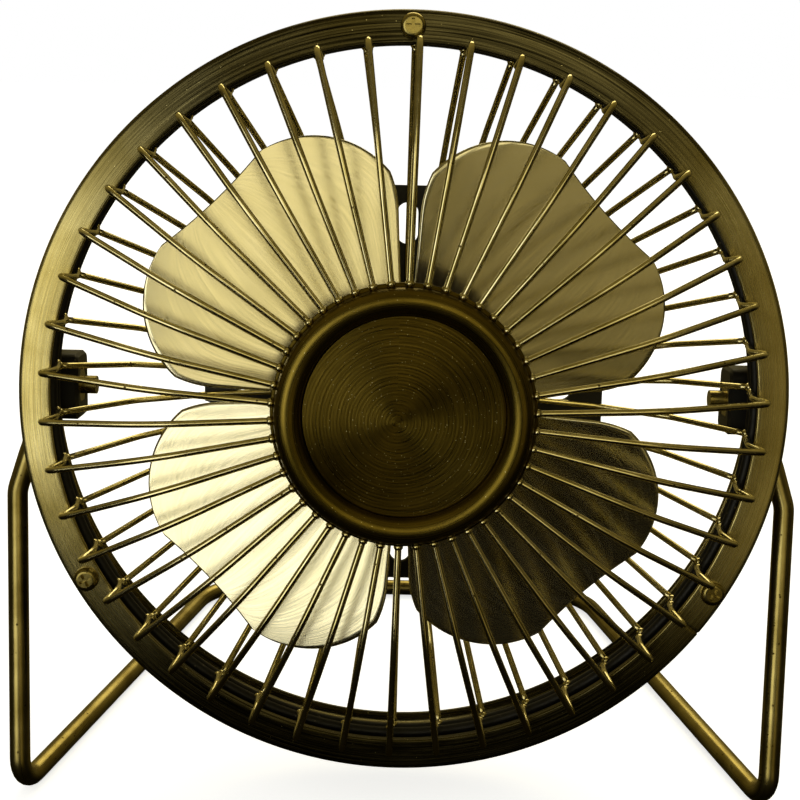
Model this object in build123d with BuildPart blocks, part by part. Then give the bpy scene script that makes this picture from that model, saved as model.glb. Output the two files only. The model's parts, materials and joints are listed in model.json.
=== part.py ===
from build123d import *
from math import cos, radians, sin
import os

os.makedirs("parts", exist_ok=True)

# A small metal desk fan. The head is a ring housing with two wire grilles, a four-blade
# impeller and a direct-current motor. It tilts between the legs of a bent-rod stand.
# The origin is on the table, in the middle of the whole fan. +Z is up and the front is -Y.
# Lengths are millimetres.

# --- Placing of the head ---
PIVOT_Y = -26.8            # tilt pivot, ahead of the middle of the fan
PIVOT_HEIGHT = 79.6        # tilt pivot above the table
PIVOT_DEPTH = 18.0         # tilt pivot behind the front face of the ring
HEAD_TILT = 5.0            # degrees that the head looks up at rest

# --- Ring housing ---
RING_R = 72.0
RING_DEPTH = 24.6
SHEET = 0.8
SLIP = 0.02                # gap between touching pieces
FLANGE_IN_R = 66.05        # inner edge of the flat front flange
EDGE_ROUND = 1.0
BEAD_R = 0.9               # rolled rear edge
SEAM_CLOCK = 126.6         # degrees clockwise from the top, seen from the front
SEAM_WIDTH = 0.35
SEAM_SUNK = 0.3

# --- Screws on the front flange ---
SCREW_CLOCKS = (0.0, 120.0, 240.0)
SCREW_PITCH_R = 69.0
SCREW_SHANK_R = 1.25
SCREW_HEAD_R = 2.3
SCREW_HEAD_TALL = 1.5
SCREW_HOLE_R = 1.4

# --- Grilles ---
WIRES = 46
WIRE_R = 0.62
WIRE_STEP = 360 / WIRES
FRONT_CLOCK = 1.07         # first front wire
REAR_CLOCK = 0.42          # first rear wire
HOOP_R = 67.3
HOOP_WIRE_R = 1.0
FRONT_HOOP_DEPTH = 6.9
REAR_HOOP_DEPTH = 8.9
LEG_END_R = 66.4           # where a wire is welded inside its hoop
NECK_R = 65.1              # where a front wire passes inside the flange
NECK_DEPTH = 0.4
TIP_R = 66.9               # corner in front of the flange, where it turns inwards
TIP_DEPTH = -5.4
CREST_R = 46.0
CREST_DEPTH = -10.5
HUB_END_R = 23.55
HUB_END_DEPTH = -9.42
NECK_BEND = 4.0
TIP_BEND = 1.3
CREST_BEND = 50.0
REAR_KINK_R = 54.0
REAR_KINK_DEPTH = 19.5
REAR_FLAT_R = 39.0
REAR_END_R = 22.0
REAR_KINK_BEND = 6.0
REAR_FLAT_BEND = 12.0

# --- Cap in the middle of the front grille ---
CAP_LIP_R = 24.2
CAP_RIM_OUT_R = 23.45
CAP_RIM_IN_R = 18.55
CAP_LIP_DEPTH = -8.8       # front of the welded lip
CAP_SHOULDER_DEPTH = -9.95
CAP_FLOOR_DEPTH = -9.2
DISC_R = 18.45
DISC_THICK = 0.5

# --- Bracket that carries the motor ---
BRACKET_DEPTH = 24.7       # front face
BRACKET_THICK = 1.5
BRACKET_DISC_R = 25.0
ARM_END_R = 40.7
ARM_HALF = 7.5
ARM_CUT_HALF = 3.9         # half width left at the trimmed corner
ARM_CUT_R = 30.2
SLOT_LONG = 8.3
SLOT_WIDE = 4.2
UPRIGHT_SLOT_R = 33.15
SIDE_SLOT_R = 30.2
BRACKET_VENT_PITCH_R = 17.5
BRACKET_VENT_R = 2.2

# --- Motor ---
MOTOR_DEPTH = BRACKET_DEPTH + BRACKET_THICK
CAN_R = 12.2
CAN_WALL = 1.0
CAN_LONG = 24.0
NOSE_R = 3.1
NOSE_FRONT = MOTOR_DEPTH - 1.3
BUSH_R = 2.0
BUSH_LONG = 3.4
SHAFT_R = 1.0
SHAFT_FRONT = 6.0
SHAFT_REAR = 51.2
RUNNING = 0.03             # radial clearance of the shaft in its bushes
END_CAP_THICK = 2.5
MAGNET_IN_R = 9.0
MAGNET_GAP = 7.0
MAGNET_FRONT = 30.0
MAGNET_LONG = 16.0
CORE_R = 8.7
CORE_FRONT = 32.0
CORE_LONG = 11.0
COMMUTATOR_R = 2.4
COMMUTATOR_FRONT = 45.0
COMMUTATOR_LONG = 2.2
MOTOR_SCREW_R = 8.5        # pitch radius of the two motor screws
MOTOR_SCREW_CLOCKS = (135, 315)
SMALL_SHANK_R = 1.2
SMALL_HOLE_R = 1.3
SMALL_HEAD_R = 2.2
SMALL_HEAD_TALL = 1.4

# --- Impeller ---
BLADES = 4
BLADE_THICK = 0.8
BLADE_DEPTH = 7.65         # front of the flat middle
BLADE_TOP = 52.9           # from the axis to the outer edge beside a corner
BLADE_DIP = 0.8            # how far the outer edge is hollowed at its middle
BLADE_CLOCK = 45.4         # first blade
CORNER_R = 10.0
CORNER_X = 12.7
ROOT_HALF = 9.0
ROOT_RADIUS = 10.0
SIDE_KINK = (24.3, 26.9)   # where a blade's straight side begins to bend
SIDE_BEND_R = 20.0
SIDE_BEND_ANGLE = 22.0
SPINDLE_DISC_R = 13.0
HUB_FLANGE_R = 9.0
HUB_FLANGE_THICK = 1.4
HUB_BUSH_R = 4.5
HUB_BUSH_LONG = 9.0
RIVET_PITCH_R = 6.6
RIVET_R = 1.1
RIVETS = 3
SET_SCREW_R = 1.18
SET_SCREW_LONG = 3.0
SET_SCREW_START = SHAFT_R + 0.05
SET_SCREW_HEX = (0.6, 1.2)  # radius and depth of its socket

# --- Rear cover of the motor ---
COVER_R = 22.0
COVER_WALL = 1.6
COVER_REAR = 64.6
COVER_BEVEL = 4.0
INNER_BEVEL = 3.2
COVER_SCREW_R = 18.2
COVER_SCREW_CLOCKS = (45, 225)
BOSS_R = 2.7
BOSS_LONG = 14.0
COVER_SCREW_BITE = 9.0     # length of a cover screw inside its boss
VENTS = 16
VENT_PITCH_R = 14.6
VENT_LONG = 5.6
VENT_WIDE = 1.6
GLAND_DEPTH = 51.0
GLAND_BORE_R = 1.8
GLAND_BODY_R = 3.4

# --- Rocker switch on the rear cover ---
SWITCH_BODY = (8.4, 13.4, 9.0)
SWITCH_BEZEL = (10.6, 15.6, 1.2)
SWITCH_WELL = (6.8, 12.2, 4.6)
ROCKER_WIDE = 6.1
ROCKER_HALF = 5.1
ROCKER_SWING = 20.0        # degrees from off to on
ROCKER_PIN_R = 0.6
ROCKER_PIN_HALF = 3.8      # half the length over both pins
ROCKER_BACK = 0.9          # how far its ends and its middle reach in from the pins
ROCKER_KEEL = 1.6
ROCKER_HIGH = 3.1          # how far its ends and its middle stand out
ROCKER_DISH = 2.2

# --- Stand and tilt pivots ---
ROD_R = 2.0
LEG_X = 76.5               # rod centre at the side of the head
EYE_X = 73.6               # middle of the flattened eye
EYE_THICK = 1.4
EYE_R = 4.4
NECK_X = 74.3              # rod centre where the flattened end begins
NECK_LOW = 14.0            # rod starts this far below the pivot
PLATE_LOW = 4.5            # the flattened end is at full width down to here
PLATE_WIDE = 7.0
JOGGLE_LOW = 20.5
FOOT_X = 74.4
FOOT_AHEAD = 21.6
CROSSBAR_BEHIND = 84.0
CROSSBAR_HALF = 49.6
FOOT_BEND = 4.6
CORNER_BEND = 16.0
JOGGLE_BEND = 7.0
PIVOT_SCREW_R = 1.8
PIVOT_HOLE_R = 1.85
PIVOT_HEAD_R = 3.6
PIVOT_HEAD_TALL = 1.2
RIGHT_SCREW_END = 61.0     # x where each pivot screw ends inside the ring
LEFT_SCREW_END = 61.2
WASHER_X = 72.3
WASHER_THICK = 0.6
WASHER_R = 4.4
BLOCK_IN_X = 64.0
BLOCK_CORNER_R = 2.0
BLOCK_CHAMFER = 0.6
BLOCK_HALF_TALL = 6.6
BLOCK_HALF_DEEP = 4.4
NUT_FLATS = 6.4
NUT_THICK = 2.4
HEAD_GAP = 0.15            # between an eye and its screw head

# --- Frame of the tilted head ---
RIGHT = Vector(1, 0, 0)
REAR = Vector(0, cos(radians(HEAD_TILT)), -sin(radians(HEAD_TILT)))
UP = Vector(0, sin(radians(HEAD_TILT)), cos(radians(HEAD_TILT)))
PIVOT = Vector(0, PIVOT_Y, PIVOT_HEIGHT)
RING_CENTRE = PIVOT - REAR * PIVOT_DEPTH
FAN_AXIS = Axis(RING_CENTRE, REAR)


def face_plane(depth):
    """Plane across the fan axis: x to the right, y up the head, z towards the front."""
    return Plane(origin=RING_CENTRE + REAR * depth, x_dir=RIGHT, z_dir=-REAR)


def profile_plane():
    """Plane through the fan axis: x is the radius, upwards, and y the depth behind the face."""
    return Plane(origin=RING_CENTRE, x_dir=UP, z_dir=UP.cross(REAR))


def side_plane(x):
    """Plane square to the tilt axis at x: its own x is the depth from the pivot, y is up."""
    return Plane(origin=PIVOT + RIGHT * x, x_dir=REAR, z_dir=REAR.cross(UP))


def clock_point(radius, clock):
    """Point on a face plane at an angle clockwise from the top."""
    return (radius * sin(radians(clock)), radius * cos(radians(clock)))


def clockwise(shape, angle):
    """Copy of a head piece turned clockwise about the fan axis, seen from the front."""
    return shape.rotate(FAN_AXIS, angle)


def grille_wire(points, bends):
    """One round wire along straight runs and arcs in the upright plane through the axis."""
    with BuildPart() as wire:
        with BuildLine(profile_plane()) as route:
            FilletPolyline(*points, radius=bends)
        with BuildSketch(Plane(origin=route.line @ 0, z_dir=route.line % 0)):
            Circle(WIRE_R)
        sweep(path=route.line)
    return wire.part


def pan_head_screw(plane, shank_r, shank_long, head_r, head_tall):
    """Cross-recess pan-head screw: head on the plane's z side, shank on the other side."""
    with BuildPart() as screw:
        with BuildSketch(plane):
            Circle(head_r)
        extrude(amount=head_tall)
        crown = screw.faces().sort_by(Axis(plane.origin, plane.z_dir))[-1]
        fillet(crown.edges(), head_tall * 0.6)
        with BuildSketch(plane.offset(head_tall)):
            Rectangle(head_r * 1.1, head_r * 0.26)
            Rectangle(head_r * 0.26, head_r * 1.1)
        extrude(amount=-head_tall * 0.6, mode=Mode.SUBTRACT)
        with BuildSketch(plane):
            Circle(shank_r)
        extrude(amount=-shank_long)
    return screw.part


def save(piece, label):
    """Name a finished piece and write its file."""
    piece.label = label
    export_step(piece, f"parts/{label}.step")


# --- Ring housing: flat flange, round wall and rolled rear edge ---
with BuildPart() as housing_ring:
    with BuildSketch(profile_plane()):
        with BuildLine():
            Polyline(
                (FLANGE_IN_R, 0), (RING_R - EDGE_ROUND, 0), (RING_R, EDGE_ROUND),
                (RING_R, RING_DEPTH), (RING_R - SHEET, RING_DEPTH), (RING_R - SHEET, SHEET),
                (FLANGE_IN_R, SHEET), close=True,
            )
        make_face()
        with Locations((RING_R - BEAD_R, RING_DEPTH - BEAD_R)):
            Circle(BEAD_R)
    revolve(axis=FAN_AXIS)
    with BuildSketch(side_plane(0)):
        Circle(PIVOT_HOLE_R)
    extrude(amount=RING_R + 1, both=True, mode=Mode.SUBTRACT)
    with BuildSketch(face_plane(-1)):
        with Locations(*[clock_point(SCREW_PITCH_R, clock) for clock in SCREW_CLOCKS]):
            Circle(SCREW_HOLE_R)
    extrude(amount=-(SHEET + 2), mode=Mode.SUBTRACT)
    with BuildSketch(face_plane(0)):
        with Locations(clock_point(SCREW_PITCH_R, SEAM_CLOCK)):
            Rectangle(SEAM_WIDTH, 2 * (RING_R - SCREW_PITCH_R) + 1, rotation=-SEAM_CLOCK)
    extrude(amount=-SEAM_SUNK, mode=Mode.SUBTRACT)
    with BuildSketch(face_plane(0)):
        with Locations(clock_point(RING_R, SEAM_CLOCK)):
            Rectangle(SEAM_WIDTH, 2 * SEAM_SUNK, rotation=-SEAM_CLOCK)
    extrude(amount=-RING_DEPTH, mode=Mode.SUBTRACT)
save(housing_ring.part, "housing_ring")

# --- Front grille: wires with tight bends at the ring, welded inside a hoop ---
front_wire = grille_wire(
    [(LEG_END_R, FRONT_HOOP_DEPTH), (NECK_R, NECK_DEPTH), (TIP_R, TIP_DEPTH),
     (CREST_R, CREST_DEPTH), (HUB_END_R, HUB_END_DEPTH)],
    [NECK_BEND, TIP_BEND, CREST_BEND],
)
with BuildPart() as front_grille:
    with BuildSketch(profile_plane()):
        with Locations((HOOP_R, FRONT_HOOP_DEPTH)):
            Circle(HOOP_WIRE_R)
    revolve(axis=FAN_AXIS)
    add([clockwise(front_wire, FRONT_CLOCK + WIRE_STEP * k) for k in range(WIRES)])
save(front_grille.part, "front_grille")

# --- Rear grille: wires that slope back to a kink and then to the motor bracket ---
REAR_FLAT_DEPTH = BRACKET_DEPTH - WIRE_R - SLIP
rear_wire = grille_wire(
    [(LEG_END_R, REAR_HOOP_DEPTH), (REAR_KINK_R, REAR_KINK_DEPTH),
     (REAR_FLAT_R, REAR_FLAT_DEPTH), (REAR_END_R, REAR_FLAT_DEPTH)],
    [REAR_KINK_BEND, REAR_FLAT_BEND],
)
with BuildPart() as rear_grille:
    with BuildSketch(profile_plane()):
        with Locations((HOOP_R, REAR_HOOP_DEPTH)):
            Circle(HOOP_WIRE_R - SLIP)
    revolve(axis=FAN_AXIS)
    add([clockwise(rear_wire, REAR_CLOCK + WIRE_STEP * k) for k in range(WIRES)])
save(rear_grille.part, "rear_grille")

# --- Cap of the front grille: pressed cup with a round rim and a welded lip ---
CAP_MID_R = (CAP_RIM_OUT_R + CAP_RIM_IN_R) / 2
CAP_ROLL_R = (CAP_RIM_OUT_R - CAP_RIM_IN_R) / 2
with BuildPart() as hub_cap:
    with BuildSketch(profile_plane()):
        with BuildLine():
            Polyline(
                (CAP_RIM_OUT_R, CAP_SHOULDER_DEPTH), (CAP_RIM_OUT_R, CAP_LIP_DEPTH),
                (CAP_LIP_R, CAP_LIP_DEPTH), (CAP_LIP_R, CAP_LIP_DEPTH + SHEET),
                (CAP_RIM_OUT_R - SHEET, CAP_LIP_DEPTH + SHEET),
                (CAP_RIM_OUT_R - SHEET, CAP_SHOULDER_DEPTH),
            )
            ThreePointArc(
                (CAP_RIM_OUT_R - SHEET, CAP_SHOULDER_DEPTH),
                (CAP_MID_R, CAP_SHOULDER_DEPTH - CAP_ROLL_R + SHEET),
                (CAP_RIM_IN_R + SHEET, CAP_SHOULDER_DEPTH),
            )
            Polyline(
                (CAP_RIM_IN_R + SHEET, CAP_SHOULDER_DEPTH),
                (CAP_RIM_IN_R + SHEET, CAP_FLOOR_DEPTH + SHEET), (0, CAP_FLOOR_DEPTH + SHEET),
                (0, CAP_FLOOR_DEPTH), (CAP_RIM_IN_R, CAP_FLOOR_DEPTH),
                (CAP_RIM_IN_R, CAP_SHOULDER_DEPTH),
            )
            ThreePointArc(
                (CAP_RIM_IN_R, CAP_SHOULDER_DEPTH),
                (CAP_MID_R, CAP_SHOULDER_DEPTH - CAP_ROLL_R),
                (CAP_RIM_OUT_R, CAP_SHOULDER_DEPTH),
            )
        make_face()
    revolve(axis=FAN_AXIS)
save(hub_cap.part, "hub_cap")

with BuildPart() as hub_disc:
    with BuildSketch(face_plane(CAP_FLOOR_DEPTH)):
        Circle(DISC_R)
    extrude(amount=DISC_THICK)
    chamfer(hub_disc.faces().sort_by(FAN_AXIS)[0].edges(), 0.2)
save(hub_disc.part, "hub_disc")

# --- Clips that hold both hoops behind the flange, and their screws ---
CLIP_WIDE = 7.0
CLIP_NUT_THICK = 2.2
CLIP_IN_R = 66.9
CLIP_TOE_R = HOOP_R - 0.6
CLIP_OUT_R = 70.9
CLIP_REAR = REAR_HOOP_DEPTH + HOOP_WIRE_R
with BuildPart() as clip:
    with BuildSketch(profile_plane()):
        with BuildLine():
            Polyline(
                (CLIP_IN_R, SHEET), (CLIP_OUT_R, SHEET), (CLIP_OUT_R, CLIP_REAR + SHEET),
                (CLIP_TOE_R, CLIP_REAR + SHEET), (CLIP_TOE_R, CLIP_REAR),
                (CLIP_OUT_R - SHEET, CLIP_REAR), (CLIP_OUT_R - SHEET, SHEET + CLIP_NUT_THICK),
                (CLIP_IN_R, SHEET + CLIP_NUT_THICK), close=True,
            )
        make_face()
    extrude(amount=CLIP_WIDE / 2, both=True)
    with BuildSketch(face_plane(0)):
        with Locations((0, SCREW_PITCH_R)):
            Circle(SCREW_SHANK_R + 0.02)
    extrude(amount=-6, mode=Mode.SUBTRACT)
with BuildPart() as grille_clips:
    add([clockwise(clip.part, clock) for clock in SCREW_CLOCKS])
save(grille_clips.part, "grille_clips")

flange_screw = pan_head_screw(
    Plane(origin=RING_CENTRE + UP * SCREW_PITCH_R, x_dir=RIGHT, z_dir=-REAR),
    SCREW_SHANK_R, SHEET + CLIP_NUT_THICK + 0.8, SCREW_HEAD_R, SCREW_HEAD_TALL,
)
with BuildPart() as grille_screws:
    add([clockwise(flange_screw, clock) for clock in SCREW_CLOCKS])
save(grille_screws.part, "grille_screws")

# --- Motor bracket: stamped disc with four slotted arms ---
with BuildPart() as motor_bracket:
    with BuildSketch(face_plane(BRACKET_DEPTH)) as bracket_outline:
        Circle(BRACKET_DISC_R)
        with PolarLocations(0, 4):
            Polygon(
                (-ARM_HALF, 0), (ARM_HALF, 0), (ARM_HALF, ARM_END_R), (-ARM_CUT_HALF, ARM_END_R),
                (-ARM_HALF, ARM_CUT_R), align=None,
            )
        with Locations((0, UPRIGHT_SLOT_R), (0, -UPRIGHT_SLOT_R)):
            SlotOverall(SLOT_LONG, SLOT_WIDE, rotation=90, mode=Mode.SUBTRACT)
        with Locations((SIDE_SLOT_R, 0), (-SIDE_SLOT_R, 0)):
            SlotOverall(SLOT_LONG, SLOT_WIDE, mode=Mode.SUBTRACT)
        Circle(NOSE_R + 0.1, mode=Mode.SUBTRACT)
        with Locations(*[clock_point(MOTOR_SCREW_R, clock) for clock in MOTOR_SCREW_CLOCKS]):
            Circle(SMALL_HOLE_R, mode=Mode.SUBTRACT)
        with Locations(*[clock_point(COVER_SCREW_R, clock) for clock in COVER_SCREW_CLOCKS]):
            Circle(SMALL_HOLE_R, mode=Mode.SUBTRACT)
        with PolarLocations(BRACKET_VENT_PITCH_R, 4):
            Circle(BRACKET_VENT_R, mode=Mode.SUBTRACT)
    extrude(amount=-BRACKET_THICK)
save(motor_bracket.part, "motor_bracket")

# --- Motor: can with its nose, end cap, bushes and magnets ---
CAN_IN_R = CAN_R - CAN_WALL
CAN_REAR = MOTOR_DEPTH + CAN_LONG
with BuildPart() as motor_can:
    with BuildSketch(profile_plane()):
        with BuildLine():
            Polyline(
                (BUSH_R, NOSE_FRONT), (NOSE_R, NOSE_FRONT), (NOSE_R, MOTOR_DEPTH),
                (CAN_R, MOTOR_DEPTH), (CAN_R, CAN_REAR), (CAN_IN_R, CAN_REAR),
                (CAN_IN_R, MOTOR_DEPTH + CAN_WALL), (NOSE_R, MOTOR_DEPTH + CAN_WALL),
                (NOSE_R, NOSE_FRONT + BUSH_LONG), (BUSH_R, NOSE_FRONT + BUSH_LONG), close=True,
            )
        make_face()
    revolve(axis=FAN_AXIS)
    with BuildSketch(face_plane(MOTOR_DEPTH - 1)):
        with Locations(*[clock_point(MOTOR_SCREW_R, clock) for clock in MOTOR_SCREW_CLOCKS]):
            Circle(SMALL_SHANK_R + 0.02)
    extrude(amount=-(CAN_WALL + 2), mode=Mode.SUBTRACT)
save(motor_can.part, "motor_can")

CAP_INNER = CAN_REAR - END_CAP_THICK
REAR_BUSH_FRONT = CAP_INNER + 0.4
REAR_BUSH_REAR = REAR_BUSH_FRONT + BUSH_LONG
END_NOSE_R = 3.4
END_NOSE_WALL = 0.8
TAB_X = 7.6                # brush tabs, either side of the axis
TAB_THICK = 0.4
TAB_WIDE = 2.0
with BuildPart() as motor_end_cap:
    with BuildSketch(profile_plane()):
        with BuildLine():
            Polyline(
                (BUSH_R, CAP_INNER), (CAN_IN_R, CAP_INNER), (CAN_IN_R, CAN_REAR),
                (END_NOSE_R, CAN_REAR), (END_NOSE_R, REAR_BUSH_REAR + END_NOSE_WALL),
                (0, REAR_BUSH_REAR + END_NOSE_WALL), (0, REAR_BUSH_REAR),
                (BUSH_R, REAR_BUSH_REAR), close=True,
            )
        make_face()
    revolve(axis=FAN_AXIS)
    with BuildSketch(face_plane(CAP_INNER - 1)):
        with Locations((TAB_X, 0), (-TAB_X, 0)):
            Rectangle(TAB_THICK + 0.2, TAB_WIDE + 0.4)
    extrude(amount=-(END_CAP_THICK + 2), mode=Mode.SUBTRACT)
save(motor_end_cap.part, "motor_end_cap")

with BuildPart() as shaft_bushes:
    for bush_front in (NOSE_FRONT, REAR_BUSH_FRONT):
        with BuildSketch(face_plane(bush_front)):
            Circle(BUSH_R)
            Circle(SHAFT_R + RUNNING, mode=Mode.SUBTRACT)
        extrude(amount=-BUSH_LONG)
save(shaft_bushes.part, "shaft_bushes")

with BuildPart() as motor_magnets:
    with BuildSketch(face_plane(MAGNET_FRONT)):
        Circle(CAN_IN_R)
        Circle(MAGNET_IN_R, mode=Mode.SUBTRACT)
        Rectangle(MAGNET_GAP, 2 * CAN_R, mode=Mode.SUBTRACT)
    extrude(amount=-MAGNET_LONG)
save(motor_magnets.part, "motor_magnets")

# --- Rotor of the motor: shaft, three-pole core, windings and commutator ---
with BuildPart() as motor_shaft:
    with BuildSketch(face_plane(SHAFT_FRONT)):
        Circle(SHAFT_R)
    extrude(amount=-(SHAFT_REAR - SHAFT_FRONT))
    chamfer(motor_shaft.edges().filter_by(GeomType.CIRCLE), 0.2)
save(motor_shaft.part, "motor_shaft")

POLES = 3
CORE_SHOE = 1.3
CORE_NECK = 2.8
CORE_SLOT = 2.2
CORE_BOSS_R = 3.2
with BuildPart() as armature_core:
    with BuildSketch(face_plane(CORE_FRONT)):
        Circle(CORE_R)
        Circle(CORE_R - CORE_SHOE, mode=Mode.SUBTRACT)
        with PolarLocations(0, POLES, start_angle=60):
            Rectangle(CORE_R + 2, CORE_SLOT, align=(Align.MIN, Align.CENTER), mode=Mode.SUBTRACT)
        with PolarLocations(0, POLES):
            Rectangle(CORE_R - CORE_SHOE / 2, CORE_NECK, align=(Align.MIN, Align.CENTER))
        Circle(CORE_BOSS_R)
        Circle(SHAFT_R, mode=Mode.SUBTRACT)
    extrude(amount=-CORE_LONG)
save(armature_core.part, "armature_core")

COIL_OUT = 1.5
COIL_LONG = 3.1
with BuildPart() as armature_coils:
    with BuildSketch(face_plane(CORE_FRONT - COIL_OUT)):
        with PolarLocations(CORE_BOSS_R + 0.25, POLES):
            Rectangle(COIL_LONG, CORE_NECK + 2 * COIL_OUT, align=(Align.MIN, Align.CENTER))
    extrude(amount=-(CORE_LONG + 2 * COIL_OUT))
    with BuildSketch(face_plane(CORE_FRONT)):
        with PolarLocations(0, POLES):
            Rectangle(CORE_R, CORE_NECK, align=(Align.MIN, Align.CENTER))
    extrude(amount=-CORE_LONG, mode=Mode.SUBTRACT)
save(armature_coils.part, "armature_coils")

SEGMENT_SLOT_DEEP = 0.8
SEGMENT_SLOT_WIDE = 0.3
with BuildPart() as commutator:
    with BuildSketch(face_plane(COMMUTATOR_FRONT)):
        Circle(COMMUTATOR_R)
        Circle(SHAFT_R, mode=Mode.SUBTRACT)
    extrude(amount=-COMMUTATOR_LONG)
    with BuildSketch(face_plane(COMMUTATOR_FRONT)):
        with PolarLocations(COMMUTATOR_R, POLES, start_angle=60):
            Rectangle(SEGMENT_SLOT_DEEP, SEGMENT_SLOT_WIDE)
    extrude(amount=-COMMUTATOR_LONG, mode=Mode.SUBTRACT)
save(commutator.part, "commutator")

# --- Brushes: leaf strips beside the commutator that end in tabs behind the end cap ---
BRUSH_X = COMMUTATOR_R + 0.06
LEAF_THICK = 0.25
LEAF_LONG = 6.0
LEAF_DEEP = 1.4
LEAF_FRONT = COMMUTATOR_FRONT + 0.3
TAB_FRONT = LEAF_FRONT + LEAF_DEEP
TAB_REAR = 55.0
LINK_X = (BRUSH_X + TAB_X) / 2
LINK_LOW = (LEAF_LONG - LEAF_THICK) / 2
with BuildPart() as brush_tabs:
    for side in (1, -1):
        with BuildSketch(face_plane(LEAF_FRONT)):
            with Locations((side * (BRUSH_X + LEAF_THICK / 2), 0)):
                Rectangle(LEAF_THICK, LEAF_LONG)
            with Locations((side * LINK_X, -LINK_LOW)):
                Rectangle(TAB_X - BRUSH_X, LEAF_THICK)
            with Locations((side * TAB_X, -LINK_LOW / 2)):
                Rectangle(TAB_THICK, LINK_LOW)
        extrude(amount=-LEAF_DEEP)
        with BuildSketch(face_plane(TAB_FRONT)):
            with Locations((side * TAB_X, 0)):
                Rectangle(TAB_THICK, TAB_WIDE)
        extrude(amount=-(TAB_REAR - TAB_FRONT))
save(brush_tabs.part, "brush_tabs")

motor_screw = pan_head_screw(
    Plane(origin=RING_CENTRE + UP * MOTOR_SCREW_R + REAR * BRACKET_DEPTH, x_dir=RIGHT, z_dir=-REAR),
    SMALL_SHANK_R, BRACKET_THICK + CAN_WALL + 0.4, SMALL_HEAD_R, SMALL_HEAD_TALL,
)
with BuildPart() as motor_screws:
    add([clockwise(motor_screw, clock) for clock in MOTOR_SCREW_CLOCKS])
save(motor_screws.part, "motor_screws")

# --- Impeller: one sheet with a flat middle and four twisted paddles ---
BLADE_BLANK = 64.0         # width of the twisted strip that a blade is cut from
BLADE_STATIONS = ((9, 9.5), (26, 9.0), (40, 7.8), (55, 6.3))   # radius and pitch
with BuildPart() as blade:
    for height, pitch in BLADE_STATIONS:
        tilt = radians(pitch)
        chord = RIGHT * cos(tilt) + REAR * sin(tilt)
        origin = RING_CENTRE + REAR * (BLADE_DEPTH + BLADE_THICK / 2) + UP * height
        with BuildSketch(Plane(origin=origin, x_dir=chord, z_dir=UP)):
            Rectangle(BLADE_BLANK, BLADE_THICK)
    loft()
    with BuildSketch(face_plane(-20)):
        with BuildLine():
            right_side = Line((ROOT_HALF, ROOT_RADIUS), SIDE_KINK)
            right_edge = JernArc(right_side @ 1, right_side % 1, SIDE_BEND_R, SIDE_BEND_ANGLE)
            corner = ThreePointArc(
                right_edge @ 1, (CORNER_X + CORNER_R * 0.72, BLADE_TOP - CORNER_R * 0.29),
                (CORNER_X, BLADE_TOP),
            )
            ThreePointArc(corner @ 1, (0, BLADE_TOP - BLADE_DIP), (-CORNER_X, BLADE_TOP))
            mirror(right_side, about=Plane.YZ)
            mirror(right_edge, about=Plane.YZ)
            mirror(corner, about=Plane.YZ)
            Line((-ROOT_HALF, ROOT_RADIUS), (ROOT_HALF, ROOT_RADIUS))
        make_face()
    extrude(amount=-60, mode=Mode.INTERSECT)
with BuildPart() as impeller:
    with BuildSketch(face_plane(BLADE_DEPTH)):
        Circle(SPINDLE_DISC_R)
    extrude(amount=-BLADE_THICK)
    add([clockwise(blade.part, BLADE_CLOCK + 360 / BLADES * k) for k in range(BLADES)])
    with BuildSketch(face_plane(0)):
        Circle(SHAFT_R + RUNNING)
        with PolarLocations(RIVET_PITCH_R, RIVETS, start_angle=90):
            Circle(RIVET_R)
    extrude(amount=-20, mode=Mode.SUBTRACT)
save(impeller.part, "impeller")

HUB_FRONT = BLADE_DEPTH + BLADE_THICK
BUSH_FRONT = HUB_FRONT + HUB_FLANGE_THICK
SET_SCREW_DEPTH = BUSH_FRONT + HUB_BUSH_LONG / 2
SET_SCREW_PLACE = RING_CENTRE + REAR * SET_SCREW_DEPTH
with BuildPart() as impeller_hub:
    with BuildSketch(face_plane(HUB_FRONT)):
        Circle(HUB_FLANGE_R)
        with PolarLocations(RIVET_PITCH_R, RIVETS, start_angle=90):
            Circle(RIVET_R, mode=Mode.SUBTRACT)
    extrude(amount=-HUB_FLANGE_THICK)
    with BuildSketch(face_plane(BUSH_FRONT)):
        Circle(HUB_BUSH_R)
    extrude(amount=-HUB_BUSH_LONG)
    with BuildSketch(face_plane(HUB_FRONT - 1)):
        Circle(SHAFT_R + RUNNING)
    extrude(amount=-(HUB_BUSH_LONG + HUB_FLANGE_THICK + 2), mode=Mode.SUBTRACT)
    with BuildSketch(Plane(origin=SET_SCREW_PLACE, x_dir=RIGHT, z_dir=UP)):
        Circle(SET_SCREW_R + SLIP)
    extrude(amount=HUB_BUSH_R + 1, mode=Mode.SUBTRACT)
save(impeller_hub.part, "impeller_hub")

with BuildPart() as hub_set_screw:
    with BuildSketch(Plane(
        origin=SET_SCREW_PLACE + UP * SET_SCREW_START, x_dir=RIGHT, z_dir=UP,
    )):
        Circle(SET_SCREW_R)
    extrude(amount=SET_SCREW_LONG)
    with BuildSketch(Plane(
        origin=SET_SCREW_PLACE + UP * (SET_SCREW_START + SET_SCREW_LONG), x_dir=RIGHT, z_dir=UP,
    )):
        RegularPolygon(SET_SCREW_HEX[0], 6)
    extrude(amount=-SET_SCREW_HEX[1], mode=Mode.SUBTRACT)
save(hub_set_screw.part, "hub_set_screw")

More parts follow.
